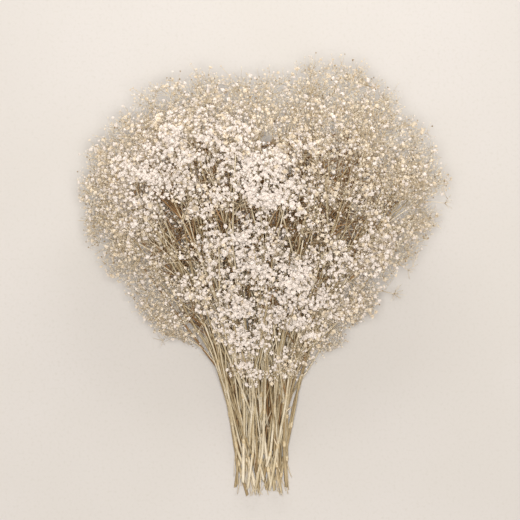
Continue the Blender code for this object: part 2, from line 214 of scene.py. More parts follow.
# Twigs, side twigs and pedicels, thick end first
TWIG_ENDS = (0.0007, 0.0003)
TWIG_RINGS = 8
TWIG_SIDES = 5
TWIG_BOW = 0.12
FORK_SLIMMING = 0.85
TWIGLET_RADII = (0.00027, 0.00015)
TWIGLET_LENGTHS = (0.012, 0.026)
TWIGLET_LEAN = (0.5, 1.1)
TWIGLET_ALONG = (0.5, 1.2)
TWIGLET_STRAY = 0.7
TWIGLET_FLOWERS = (3, 5)
TWIGLET_OPENNESS = 0.8
PEDICEL_RADII = (0.00014, 0.00010)
PEDICELS = (0.004, 0.009)
PEDICEL_SIDES = 3
LOWEST_FLOWERS = 0.185

# Clusters that stand for the large CAD florets and buds
CLUSTER_FORKS = 6
CLUSTER_RADII = (0.00026, 0.00016)
FORK_JITTER = 0.3
MIDDLE_FORK = 0.1
FORK_SPREAD = (0.45, 0.95)
FORK_RISE = (0.5, 0.95)
FORK_FLOWERS = (3, 6)
FLOWER_SPREAD = 0.52
FLOWER_RISE = (0.15, 0.65)
PLACE_TRIES = 3
BUD_FORK_BACK = 0.006
BUD_FLOWERS = (9, 14)
BUD_ALONG = (0.4, 1.3)
BUD_STRAY = 0.75
BUD_PEDICELS = (0.004, 0.011)
BUD_OPENNESS = 0.7

# Where flowers are left out, and the twiglets that fill the holes in the head's skin
UNDERSIDE_THINNING = 0.8
RIM_THINNING = 0.55
FRINGE_WIDTHS = (0.042, 0.056)
INSIDE_RING = 0.5
INSIDE_DEPTH = 0.8
INSIDE_THINNING = 0.7
UNDER_FROM = -0.1
UNDER_THINNING = 0.50
COVER_RIM_THINNING = 0.70
TWIGLET_RIM_THINNING = 0.75
PATCH_SIZE = 0.026
HOLLOWS = (
    (-0.058, 0.095, 0.006), (-0.037, 0.049, 0.011), (-0.022, 0.068, 0.008), (0.014, 0.053, 0.009),
    (0.004, 0.130, 0.009), (-0.066, 0.044, 0.008), (-0.094, 0.028, 0.008), (-0.068, 0.005, 0.008),
    (0.033, 0.028, 0.008), (0.077, 0.100, 0.010), (0.127, 0.136, 0.006), (0.134, 0.062, 0.009),
    (0.066, 0.060, 0.007), (0.045, 0.112, 0.007), (-0.117, 0.080, 0.008), (-0.012, -0.020, 0.007),
    (-0.064, -0.050, 0.011), (-0.054, -0.066, 0.011), (-0.044, -0.082, 0.010),
)
HOLLOW_SLOPE = 1.6
HOLLOW_THINNING = 0.85
COVER_FROM = -0.24
CROWD_OPENING = 1.0
CROWD_GROWTH = 0.5
COVER_CAP_SHARE = 0.30
COVER_CAP_DEPTHS = (0.86, 0.98)
COVER_RINGS = (0.70, 0.98)
LOWEST_COVER = 0.152
COVER_FLANKS = (0.11, 0.09)
COVER_ROUNDS = 5
COVER_TRIES = 2500
COVER_ROOM = 0.0042
LIMBS_TRIED = 80
LIMB_DEPTH = 0.004
CORE_SHARES = (0.6, 0.8)
COVER_CROWDING = 1.4
COVER_MARGIN = 0.003
COVER_FORK_BACK = 0.006
COVER_FORK_DEPTHS = (0.5, 1.3)
COVER_FLOWERS = (5, 7)
COVER_RIM_FLOWERS = 5
COVER_SPREAD = 0.0042

# The bunch's sides seen from above: where they are at each height up the picture
OUTLINE_Y = (
    -0.208, -0.178, -0.148, -0.118, -0.103, -0.088, -0.073, -0.058, -0.043, -0.028, -0.013, 0.002,
    0.017, 0.032, 0.062, 0.092, 0.122, 0.137, 0.152, 0.167, 0.182, 0.197, 0.212,
)
OUTLINE_LEFT = (
    -0.032, -0.034, -0.039, -0.043, -0.044, -0.052, -0.068, -0.115, -0.125, -0.132, -0.139, -0.155,
    -0.168, -0.170, -0.177, -0.180, -0.174, -0.164, -0.154, -0.143, -0.130, -0.092, -0.086,
)
OUTLINE_RIGHT = (
    0.025, 0.026, 0.028, 0.035, 0.043, 0.058, 0.082, 0.086, 0.112, 0.118, 0.120, 0.133, 0.159, 0.171,
    0.178, 0.188, 0.172, 0.168, 0.168, 0.142, 0.140, 0.104, 0.104,
)
OUTLINE_SLACK = 0.004

# Flowers: their radii when at their most open, and how many are of each kind
FORM_VARIANTS = 5
FORM_JITTER = 0.13
FORM_TURN = 60
NECK_SINK = 0.9
FLOWER_RADII = {
    "open": (0.0018, 0.0037),
    "half": (0.0010, 0.0019),
    "bud": (0.0007, 0.0012),
    "spent": (0.0009, 0.0013),
}
SIZE_BIAS = 1.8
SMALLEST = 0.74
OPEN_SHARE = 0.70
HALF_SHARE = 0.44
SPENT_SHARE = 0.09
FRESH_BASE = 0.24
NOD = 0.30

# Where the flowers are most open, in the layout's own coordinates, and how that fades
PALE_BAND = (
    (-0.114, 0.088), (-0.061, 0.112), (0.009, 0.082), (-0.021, 0.022), (-0.011, -0.068), (0.040, -0.020),
    (0.095, -0.012),
)
BAND_WIDTH = 0.043
LEAST_OPEN = 0.30
RIM_STARTS = (0.84, 0.80)
RIM_ANGLE = 31.5
RIM_FADE = 0.75

# Finishes: detail of the noise, where it turns to the middle and the dark colour, and the gloss
PATCH_DETAIL = 2.0
GRAIN_DETAIL = 3.0
MIDDLE_FROM = (0.35, 0.60)
DARK_FROM = (0.52, 0.78)
DRY_IOR = 1.45

# The studio: the floor, two lights and the camera
FLOOR_SIDE = 9.0
FLOOR_COLOURS = ("#D1CDC9", "#CFCBC6", "#CBC7C1")
KEY_SIZE = (0.5, 0.5)
KEY_PLACE = (0.0, 0.01, 3.0)
KEY_AIM = (0.0, 0.05, 0.05)
KEY_WATTS = 78.0
FAR_SIZE = (0.5, 0.3)
FAR_PLACE = (0.03, 0.72, 0.62)
FAR_AIM = (0.0, 0.2, 0.0)
FAR_WATTS = 2.3
LIGHT_COLOUR = "#FFFEFD"
SURROUND_COLOUR = "#FFEEDA"
SURROUND_STRENGTH = 0.29
SENSOR = 36.0
CAMERA_HEIGHT = 3.5
VIEW_WIDTH = 0.530
VIEW_CENTRE = (-0.0066, 0.0186)


def rise(distance):
    """How far the fan has opened in height: less than its distance at first, past the neck."""
    past = distance - NECK_DISTANCE
    return min(past, max(0.0, FIRST_RISE * past, past - (1 - FIRST_RISE) * FIRST_INTERNODE))


def axis_height(distance):
    """Height of the bunch's middle above the table, at a distance from the fan's origin."""
    return NECK_AXIS_HEIGHT + AXIS_RISE * rise(distance)


def half_height(distance):
    return NECK_HALF_HEIGHT + HEIGHT_SPREAD * rise(distance)


def place(u, w, distance):
    """A point in the fan: u across and w up, each from -1 to 1, and a distance from its origin."""
    angle = HEAD_ANGLE * u
    return Vector((
        distance * math.sin(angle),
        FAN_Y + distance * math.cos(angle),
        axis_height(distance) + half_height(distance) * w,
    ))


def head_reach(u, w):
    """How far from the fan's origin the flowers end, in the direction u, w."""
    plan = float(np.interp(math.degrees(HEAD_ANGLE * u), REACH_DEGREES, REACH))
    return plan * (1 - CAP_ROUNDING * w * w)


def layer_heights():
    """Heights of the layers' centre lines. A stalk has a flat side down and an edge up."""
    flat = math.cos(math.pi / STALK_SIDES)
    heights = [LAYER_RADII[0] * flat]
    for below, radius in zip(LAYER_RADII, LAYER_RADII[1:]):
        heights.append(heights[-1] + below + TOUCH_GAP + radius * flat)
    return heights


def stalk_point(stem, distance):
    """The stalk's centre line, from its cut end, below the neck, to its tip in the head."""
    spread = float(np.interp(distance, SPREAD_DISTANCES, SPREAD))
    if distance >= NECK_DISTANCE:
        past = distance - NECK_DISTANCE
        point = place(stem.u * spread, stem.w, distance)
        point.x -= stem.lean * past * math.exp(-past / LEAN_FADE)
    else:
        below = NECK_DISTANCE - distance
        point = place(stem.u * spread, stem.w, NECK_DISTANCE)
        slope = math.tan(HEAD_ANGLE * stem.u * spread)
        point.x += stem.lean * below - slope * below * math.exp(-below / TAIL_EASE)
        point.y -= below
    point.x += float(np.interp(distance, stem.joints, stem.kinks))
    return point


def stalk_at(stem, distance):
    """A point of the stalk as it is made: straight from each joint to the next."""
    above = next(k for k, joint in enumerate(stem.joints) if joint >= distance)
    low, high = stem.joints[above - 1], stem.joints[above]
    return stalk_point(stem, low).lerp(stalk_point(stem, high), (distance - low) / (high - low))


def stalk_radius(stem, distance):
    """Even up to the neck, then thinner towards the tip."""
    share = max(0.0, (distance - NECK_DISTANCE) / (stem.joints[-1] - NECK_DISTANCE))
    return stem.radius + (STALK_TIP_RADIUS - stem.radius) * share ** STALK_TAPER


def make_stems(draw):
    """The stalks of all layers, with their joints as distances from the fan's origin.

    All have a joint where the neck ends and at the first internode above it. Below the neck the
    stalks lie level, and above it they rise in two steps.
    """
    stems = []
    for layer, (count, height) in enumerate(zip(STALKS_PER_LAYER, layer_heights())):
        w = (height - NECK_AXIS_HEIGHT) / NECK_HALF_HEIGHT
        chord = STEM_DISC * math.sqrt(1 - (w / STEM_DISC_HEIGHT) ** 2)
        for place_in_layer in range(count):
            number = len(stems)
            across = 2 * place_in_layer / (count - 1) - 1
            short = number % SHORT_CUT_EVERY == SHORT_CUT_EVERY - 2
            cut = NECK_DISTANCE - draw.uniform(*(SHORT_CUT_LENGTHS if short else CUT_LENGTHS))
            stem = SimpleNamespace(
                number=number,
                name=f"stem_{number + 1:02d}",
                u=chord * across + draw.uniform(-STEM_JITTER, STEM_JITTER),
                w=w,
                radius=LAYER_RADII[layer] * (draw.uniform(*RADIUS_SPREAD) if layer else 1),
                lean=LAYER_LEANS[layer] + draw.uniform(-LEAN_JITTER, LEAN_JITTER),
                sprays=[],
            )
            tip = head_reach(stem.u, stem.w) - draw.uniform(*TIP_SETBACKS)
            second = NECK_DISTANCE + FIRST_INTERNODE
            steps = round((tip - second) / draw.uniform(*INTERNODES))
            pitch = (tip - second) / steps
            stem.joints = [cut, NECK_DISTANCE] + [second + pitch * step for step in range(steps + 1)]
            side = draw.choice((-1, 1))
            stem.kinks = [side * (-1) ** step * JOINT_KINK for step in range(steps + 3)]
            stems.append(stem)
    return stems


def spray_candidate(draw):
    """A random place on the head's skin, or a little inside it, as u, w and distance."""
    kind = draw.random()
    turn = draw.uniform(0, 2 * math.pi)
    if kind < CAP_SHARE:
        ring = math.sqrt(draw.random())
        share = draw.uniform(*CAP_DEPTHS)
    elif kind < CAP_SHARE + INNER_SHARE:
        ring = INNER_RING * math.sqrt(draw.random())
        share = draw.uniform(*INNER_DEPTHS)
    else:
        ring = draw.uniform(*SKIN_RINGS)
        share = None
    u = ring * math.cos(turn)
    w = ring * math.sin(turn)
    furthest = head_reach(u, w)
    if share is None:
        lowest = LOWEST_SPRAY + FLANK_STARTS[u > 0] * u * u
        return u, w, lowest + (furthest - lowest) * draw.random() ** SKIN_CROWDING
    return u, w, furthest * share


def spray_tips(draw):
    """Tips of the sprays, spread evenly: of several random places, the one with most room."""
    chosen = []
    while len(chosen) < SPRAYS:
        best = None
        for _ in range(SPRAY_TRIES):
            u, w, distance = spray_candidate(draw)
            tip = place(u, w, distance)
            tip.z = max(tip.z, TABLE_CLEARANCE)
            room = min([(tip - other).length for other in chosen], default=1.0)
            if best is None or room > best[0]:
                best = (room, tip)
        chosen.append(best[1])
    return chosen


def curve_point(start, control, end, t):
    """A point of the quadratic curve that leaves start towards control and ends at end."""
    return start.lerp(control, t).lerp(control.lerp(end, t), t)


def segment_gaps(start, end, starts, ends):
    """Shortest distances from one segment to each of many, as arrays of points."""
    along = end - start
    others = ends - starts
    between = start - starts
    a = float(along @ along)
    e = np.einsum("ij,ij->i", others, others)
    b = others @ along
    c = between @ along
    f = np.einsum("ij,ij->i", others, between)
    denominator = a * e - b * b
    safe = np.where(denominator > PARALLEL, denominator, 1.0)
    s = np.where(denominator > PARALLEL, np.clip((b * f - c * e) / safe, 0, 1), 0.0)
    t = np.clip((b * s + f) / e, 0, 1)
    s = np.clip((b * t - c) / a, 0, 1)
    apart = (start + along * s[:, None]) - (starts + others * t[:, None])
    return np.linalg.norm(apart, axis=1)


class Occupied:
    """What is already placed, as rods with round ends, each with its stem's number."""

    def __init__(self):
        self.starts = np.zeros((0, 3))
        self.ends = np.zeros((0, 3))
        self.radii = np.zeros(0)
        self.owners = np.zeros(0, dtype=int)

    def add(self, owner, rods):
        for start, end, radius in rods:
            self.starts = np.vstack((self.starts, start))
            self.ends = np.vstack((self.ends, end))
            self.radii = np.append(self.radii, radius)
            self.owners = np.append(self.owners, owner)

    def room(self, owner, rods):
        """The smallest gap from these rods to what other stems hold."""
        others = self.owners != owner
        starts = self.starts[others]
        ends = self.ends[others]
        radii = self.radii[others]
        return min(
            (segment_gaps(np.array(start), np.array(end), starts, ends) - radii).min() - radius
            for start, end, radius in rods
        )


def rods_along(points, radius):
    return [(start, end, radius) for start, end in zip(points, points[1:])]


def around(ahead, aside, angle):
    """The direction at this angle from ahead towards aside."""
    return ahead * math.cos(angle) + aside * math.sin(angle)


def sideways(axis, draw):
    """A random direction square to an axis."""
    other = Vector((draw.gauss(0, 1), draw.gauss(0, 1), draw.gauss(0, 1)))
    return (other - axis * other.dot(axis)).normalized()


def make_spray(draw, stem, tip, length):
    """A spray of the stem that ends at tip: its twig's path, its hub and its direction."""
    core = place(0, 0, HEAD_CORE_DISTANCE)
    ray = (tip - Vector((0, FAN_Y, 0))).normalized()
    outward = (tip - core).normalized()
    axis = (ray + outward * draw.uniform(*OUTWARD_TURNS)).normalized()
    hub = tip - axis * length
    hub.z = max(hub.z, TABLE_CLEARANCE)
    distance = (hub - Vector((0, FAN_Y, NECK_AXIS_HEIGHT))).length
    beside = (hub - stalk_point(stem, min(distance, stem.joints[-1]))).length
    root = distance - max(SHORTEST_TWIG, TWIG_LIFT * beside) * draw.uniform(*TWIG_LIFT_SPREAD)
    root = min(max(root, LOWEST_ROOT), stem.joints[-1] - TIP_MARGIN)
    start = stalk_at(stem, root)
    onward = (stalk_at(stem, root + HEADING_STEP) - start).normalized()
    leaving, arriving, blend = TWIG_BENDS
    control = start + onward * leaving * (hub - start).length
    control = control.lerp(hub - axis * arriving * (hub - start).length, blend)
    path = [curve_point(start, control, hub, t) for t in (0.0, 0.5, 1.0)]
    return SimpleNamespace(
        path=path, hub=hub, axis=axis, length=length, sideways=sideways(axis, draw)
    )


def tip_spray(stem, draw):
    """The spray that ends the stalk, on a twig that goes on from its last joint."""
    end = stalk_point(stem, stem.joints[-1])
    axis = (end - stalk_point(stem, stem.joints[-2])).normalized()
    path = [end + axis * step for step in TIP_TWIG]
    length = draw.uniform(*SPRAY_LENGTHS)
    return SimpleNamespace(
        path=path, hub=path[2], axis=axis, length=length, sideways=sideways(axis, draw)
    )


def grow(draw):
    """Every stem with its sprays. A twig that would touch another stem is bent clear of it."""
    stems = make_stems(draw)
    occupied = Occupied()
    for stem in stems:
        occupied.add(stem.number, rods_along([stalk_point(stem, d) for d in stem.joints], stem.radius))
        stem.sprays.append(tip_spray(stem, draw))
        occupied.add(stem.number, rods_along(stem.sprays[0].path, TWIG_RADII[2]))
    for tip in spray_tips(draw):
        distance = min((tip - Vector((0, FAN_Y, 0))).length, FARTHEST_STALK)
        near = sorted(stems, key=lambda s: (stalk_point(s, distance) - tip).length)
        length = draw.uniform(*SPRAY_LENGTHS)
        owners = [stem for stem in near[:STEMS_TRIED] for _ in range(TWIGS_TRIED)]
        for stem in owners:
            spray = make_spray(draw, stem, tip, length)
            rods = rods_along(spray.path, TWIG_RADII[2])
            if occupied.room(stem.number, rods) > TOUCH_GAP:
                occupied.add(stem.number, rods)
                stem.sprays.append(spray)
                break
    return stems, occupied


def petal_tips(head):
    """The tips of a floret's petals, lifted, the first on the side that it faces towards."""
    across = (head.towards - head.direction * head.towards.dot(head.direction)).normalized()
    up = head.direction.cross(across)
    lift = head.direction * (PETAL_LIFT * head.radius)
    tips = []
    for angle in (2 * math.pi * step / PETALS for step in range(PETALS)):
        aside = across * (head.radius * math.cos(angle))
        tips.append(head.centre + aside + up * (head.radius * math.sin(angle)) + lift)
    return tips


def head_at(base, direction, length, kind, radius, towards):
    """A head on its pedicel. One that would reach under the table is lifted to rest on it."""
    centre = base + direction * length
    level = math.sqrt(1 - direction.z ** 2)
    down = max(0.0, -direction.z)
    if kind == "floret":
        depth = CALYX_DEPTH * radius
        centre.z = max(centre.z, radius * (level + PETAL_LIFT * down))
    else:
        depth = BUD_DEPTH
        centre.z = max(centre.z, radius * level, BUD_POINT * down)
    return SimpleNamespace(
        centre=centre, direction=direction, radius=radius, depth=depth, kind=kind, towards=towards
    )


def head_rods(spray, head):
    """The rods that stand for a head and its pedicel."""
    calyx = head.centre - head.direction * head.depth
    rods = [(spray.hub, calyx, PEDICEL_RADIUS)]
    if head.kind == "bud":
        rods.append((calyx, head.centre + head.direction * BUD_ROD_SHARE * BUD_POINT, head.radius))
    else:
        thick = PETAL_ROD_SHARE * head.radius
        rods.append((calyx.lerp(head.centre, PETAL_ROD_SHARE), head.centre, thick))
        for tip in petal_tips(head):
            rods.append((head.centre, tip.lerp(head.centre, PETAL_ROD_SHARE), thick))
    return rods


def heads_of(stem, spray, occupied, draw):
    """The heads of a spray, one for each side of its fork, clear of what other stems hold."""
    up = spray.axis.cross(spray.sideways)
    bud_side = draw.randrange(3)
    heads = []
    for side in range(3):
        kind = "bud" if side == bud_side else "floret"
        corner = 2 * side * math.pi / 3
        towards = around(spray.sideways, up, corner)
        heads.append(None)
        for attempt in range(HEAD_TRIES):
            turn = corner + math.pi / 3 + draw.uniform(-TURN_JITTER, TURN_JITTER)
            tilt = HEAD_SPREAD * draw.uniform(*SPREAD_RANGE)
            direction = around(spray.axis, around(spray.sideways, up, turn), tilt).normalized()
            scale = 1 - MOST_SHRINK * attempt / HEAD_TRIES
            length = spray.length * draw.uniform(*PEDICEL_RANGE) * scale
            radius = scale * draw.uniform(*FLORET_RADII) if kind == "floret" else BUD_RADIUS
            head = head_at(spray.hub, direction, length, kind, radius, towards)
            apart = [
                (head.centre - other.centre).length - SAME_SPRAY_ROOM * (head.radius + other.radius)
                for other in heads
                if other
            ]
            rods = head_rods(spray, head)
            if min(apart, default=1.0) > TOUCH_GAP and occupied.room(stem.number, rods) > TOUCH_GAP:
                occupied.add(stem.number, rods)
                heads[side] = head
                break
    return heads


def linear(hex_colour):
    """An sRGB hex colour as linear red, green, blue and alpha."""
    shares = [int(hex_colour[k : k + 2], 16) / 255 for k in (1, 3, 5)]
    return (*(s / 12.92 if s <= 0.04045 else ((s + 0.055) / 1.055) ** 2.4 for s in shares), 1.0)


def add_node(tree, kind, values=None, links=None, **settings):
    """Adds a node with its settings. values and links go to its inputs, by name or number."""
    node = tree.nodes.new(kind)
    for name, value in settings.items():
        setattr(node, name, value)
    for name, value in (values or {}).items():
        node.inputs[name].default_value = value
    for name, source in (links or {}).items():
        tree.links.new(source, node.inputs[name])
    return node


def finish(name, colours, patch_mm, grain_mm, roughness, bump_mm, stretch=(1, 1, 1), sheen=0.0):
    """A dry, matt finish: three colours in patches, and a fine grain in roughness and relief.

    patch_mm is the size of the colour patches and grain_mm the width of the grain. stretch makes
    both longer along an axis, and bump_mm is the height of the relief.
    """
    made = bpy.data.materials.new(name)
    made.use_nodes = True
    tree = made.node_tree
    shader = tree.nodes["Principled BSDF"]
    for socket, value in (("IOR", DRY_IOR), ("Metallic", 0.0), ("Sheen Weight", sheen)):
        shader.inputs[socket].default_value = value
    pale, middle, dark = (linear(colour) for colour in colours)
    placed = {"Vector": add_node(tree, "ShaderNodeTexCoord").outputs["Object"]}
    mapping = add_node(tree, "ShaderNodeMapping", {"Scale": [1 / s for s in stretch]}, placed)
    along = {"Vector": mapping.outputs["Vector"]}
    patches, grain = (
        add_node(tree, "ShaderNodeTexNoise", {"Scale": 1000 / size, "Detail": detail}, along).outputs["Fac"]
        for size, detail in ((patch_mm, PATCH_DETAIL), (grain_mm, GRAIN_DETAIL))
    )
    to_middle, to_dark, rough = (
        add_node(tree, "ShaderNodeMapRange", values, {"Value": source}).outputs["Result"]
        for source, values in (
            (patches, {"From Min": MIDDLE_FROM[0], "From Max": MIDDLE_FROM[1]}),
            (grain, {"From Min": DARK_FROM[0], "From Max": DARK_FROM[1]}),
            (grain, {"To Min": roughness[0], "To Max": roughness[1]}),
        )
    )
    base = add_node(tree, "ShaderNodeMix", {6: pale, 7: middle}, {0: to_middle}, data_type="RGBA").outputs[2]
    colour = add_node(tree, "ShaderNodeMix", {7: dark}, {0: to_dark, 6: base}, data_type="RGBA").outputs[2]
    heights = {"Strength": 1.0, "Distance": bump_mm / 1000}
    relief = add_node(tree, "ShaderNodeBump", heights, {"Height": grain}).outputs["Normal"]
    looks = {"Base Color": colour, "Roughness": rough, "Normal": relief}
    for socket, source in looks.items():
        tree.links.new(source, shader.inputs[socket])
    return made


def branch_finishes():
    """The woody pieces' finishes, in the order of STALK, WEATHERED_AND_SHADED, JOINT, PITH, TWIG and INNER."""
    return [
        # Air-dried stalk skin: pale straw, brown in the furrows, dull, in fine fibres 0.5 mm apart
        finish("air_dried_stalk", ("#E9DEC7", "#CFBF9E", "#917B56"), 7, 0.5, (0.62, 0.85), 0.10, (1, 14, 1)),
        # Weathered stalk skin: the same fibres, greyer and browner where it stood in the rain; on the
        # bundle's lower layers this darker skin is painted shade
        finish("weathered_and_shaded_stalk", ("#C9B996", "#A6916D", "#6F5B3E"), 7, 0.5, (0.66, 0.90), 0.12, (1, 14, 1)),
        # Swollen joint: thicker, browner skin with short wrinkles, a touch smoother
        finish("swollen_joint", ("#E8DABC", "#D2BD96", "#A1865E"), 3, 0.6, (0.55, 0.80), 0.12),
        # Cut pith: pale, spongy and quite matt, with pores drawn at 0.6 mm so that they show
        finish("cut_pith", ("#F0E8D4", "#E0D4B8", "#B5A27A"), 2, 0.6, (0.85, 0.98), 0.12),
        # Dry twig skin: cream to tan, with colour that drifts every few centimetres along it
        finish("dry_twig", ("#F1E6D0", "#E2D1B1", "#B69A6D"), 16, 0.8, (0.65, 0.88), 0.05, (1, 6, 1)),
        # Inner twig skin: the same, gone brown, and darker still as painted shade for the twigs deep in the
        # head and bundle and under it
        finish("browned_and_shaded_twig", ("#B08D64", "#8B6A44", "#594128"), 14, 0.8, (0.70, 0.90), 0.05, (1, 6, 1)),
    ]


def floret_finishes():
    """The finishes of the flowers, in the order of CALYX, FRESH, AGED, BUD and SPENT."""
    return [
        # Calyx: papery beige cup under the petals
        finish("papery_calyx", ("#F1E7D1", "#E2D3B3", "#BAA178"), 4, 0.7, (0.70, 0.90), 0.05),
        # Petals dried white: soft, papery, almost without gloss, cream in the folds
        finish(
            "dried_white_petal", ("#EFE7E0", "#E9E0D8", "#D9C9B8"), 6, 0.7, (0.72, 0.95), 0.06, sheen=0.15
        ),
        # Petals dried beige: the same paper, aged
        finish("aged_petal", ("#F0E6D6", "#DFD0B8", "#BDA682"), 5, 0.7, (0.72, 0.95), 0.06, sheen=0.10),
        # Closed bud: cream petals still rolled up, beige in the folds
        finish("rolled_bud", ("#EFE9DC", "#E0D6C4", "#B3A488"), 3, 0.6, (0.65, 0.90), 0.05),
        # Spent flower: its brown, shrivelled calyx
        finish("spent_calyx", ("#B9A585", "#98825F", "#6C573B"), 3, 0.6, (0.75, 0.95), 0.06),
    ]


def put_in_scene(name, data):
    """A new object that shows this mesh, light or camera."""
    made = bpy.data.objects.new(name, data)
    bpy.context.scene.collection.objects.link(made)
    return made


@functools.cache
def tube_faces(rings, sides):
    """Triangles of a closed tube of so many rings and sides."""
    faces = []
    for first in range(0, (rings - 1) * sides, sides):
        for side in range(sides):
            a = first + side
            b = first + (side + 1) % sides
            faces += [(a, b, b + sides), (a, b + sides, a + sides)]
    top = (rings - 1) * sides
    for side in range(1, sides - 1):
        faces += [(0, side + 1, side), (top, top + side, top + side + 1)]
    return np.array(faces)


def sides_of(headings):
    """Two directions square to each heading and to each other, without a twist between them."""
    reference = np.eye(3)[np.abs(headings[0]).argmin()]
    across = reference - (headings @ reference)[:, None] * headings
    across /= np.linalg.norm(across, axis=1)[:, None]
    return across, np.cross(headings, across)


def turned(axis, turn):
    """The direction square to an axis that lies at this turn about it."""
    return around(*(sides[0] for sides in sides_of(axis[None])), turn)


def headings_along(path):
    headings = np.gradient(path, axis=0)
    return headings / np.linalg.norm(headings, axis=1)[:, None]


def unit(vector):
    return vector / np.linalg.norm(vector)


def stray(draw, direction, spread):
    """The direction, strayed at random."""
    return unit(direction + draw.normal(size=3) * spread)


class Piece:
    """Points and faces of one piece, gathered while it grows."""

    def __init__(self, name):
        self.name = name
        self.points = []
        self.faces = []
        self.finishes = []
        self.count = 0

    def add(self, points, faces, finish_number):
        """Adds closed forms, with one finish for all faces or one for each."""
        self.points.append(points)
        self.faces.append(faces + self.count)
        self.finishes.append(np.broadcast_to(finish_number, len(faces)))
        self.count += len(points)

    def tube(self, path, radii, sides, finish_number, headings=None):
        """Adds a closed tube along the path, square to its headings."""
        if headings is None:
            headings = headings_along(path)
        across, up = sides_of(headings)
        turns = 2 * np.pi * np.arange(sides) / sides
        corners = across[:, None] * np.cos(turns)[:, None] + up[:, None] * np.sin(turns)[:, None]
        points = path[:, None] + corners * radii[:, None, None]
        self.add(points.reshape(-1, 3), tube_faces(len(path), sides), finish_number)

    def make(self, node, slot, finishes, smooth):
        """The mesh object, which rides on the bunch and stands for its CAD stem."""
        mesh = bpy.data.meshes.new(self.name)
        mesh.from_pydata(np.concatenate(self.points), [], np.concatenate(self.faces))
        for material in finishes:
            mesh.materials.append(material)
        numbers = np.concatenate(self.finishes).astype(np.int32)
        mesh.polygons.foreach_set("material_index", numbers)
        mesh.polygons.foreach_set("use_smooth", np.full(len(numbers), smooth))
        mesh.update()
        made = put_in_scene(self.name, mesh)
        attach(made, "root")
        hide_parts(node)


def flower_form(rings, apex, petals_from, draw):
    """A closed flower about +Z, of unit radius, built ring by ring and ended by an apex.

    A ring is a list of (degrees, radius, height). Faces from the ring petals_from on are petals,
    and those below are calyx. Each form is a little uneven, as no two flowers are alike.
    """
    points = []
    loops = []
    for ring_points in rings:
        loops.append(list(range(len(points), len(points) + len(ring_points))))
        for degrees, radius, height in ring_points:
            angle = math.radians(degrees + draw.uniform(-FORM_TURN, FORM_TURN) * FORM_JITTER)
            spread = radius * (1 + draw.uniform(-1, 1) * FORM_JITTER)
            height += draw.uniform(-1, 1) * FORM_JITTER
            points.append((spread * math.cos(angle), spread * math.sin(angle), height))
    faces = [tuple(reversed(loops[0]))]
    petals = [False]
    for number, (low, high) in enumerate(zip(loops, loops[1:])):
        i = 0
        j = 0
        while i < len(low) or j < len(high):
            a = low[i % len(low)]
            b = high[j % len(high)]
            if j >= len(high) or (i < len(low) and (i + 1) / len(low) <= (j + 1) / len(high)):
                faces.append((a, low[(i + 1) % len(low)], b))
                i += 1
            else:
                faces.append((a, high[(j + 1) % len(high)], b))
                j += 1
            petals.append(number + 1 >= petals_from)
    points.append(apex)
    for a, b in zip(loops[-1], loops[-1][1:] + loops[-1][:1]):
        faces.append((a, b, len(points) - 1))
        petals.append(True)
    neck = -np.mean(points[:3], axis=0)[2]
    return SimpleNamespace(
        points=np.array(points), faces=np.array(faces), petals=np.array(petals), neck=neck
    )


def even(count, radius, height):
    """A ring of evenly spaced points."""
    return [(360 * step / count, radius, height) for step in range(count)]


def petalled(count, tip, notch):
    """A ring of narrow petals' tips and the notches between them, each a (radius, height)."""
    return [(180 * step / count, *(notch if step % 2 else tip)) for step in range(2 * count)]


def flower_forms(draw):
    """A few uneven forms of each kind of flower, from wide open to spent."""
    kinds = {
        "open": (
            [even(3, 0.10, -0.70), petalled(7, (1.00, 0.12), (0.46, -0.14)), even(5, 0.50, 0.50)],
            (0.0, 0.0, 0.12),
            1,
        ),
        "half": ([even(3, 0.26, -0.70), petalled(PETALS, (0.98, 0.45), (0.52, 0.12))], (0.0, 0.0, 0.05), 1),
        "bud": ([even(3, 0.14, -1.10), even(4, 0.92, -0.10)], (0.0, 0.0, 1.15), 2),
        "spent": ([even(3, 0.14, -1.00), even(5, 1.00, 0.45)], (0.0, 0.0, -0.30), 2),
    }
    return {kind: [flower_form(*form, draw) for _ in range(FORM_VARIANTS)] for kind, form in kinds.items()}


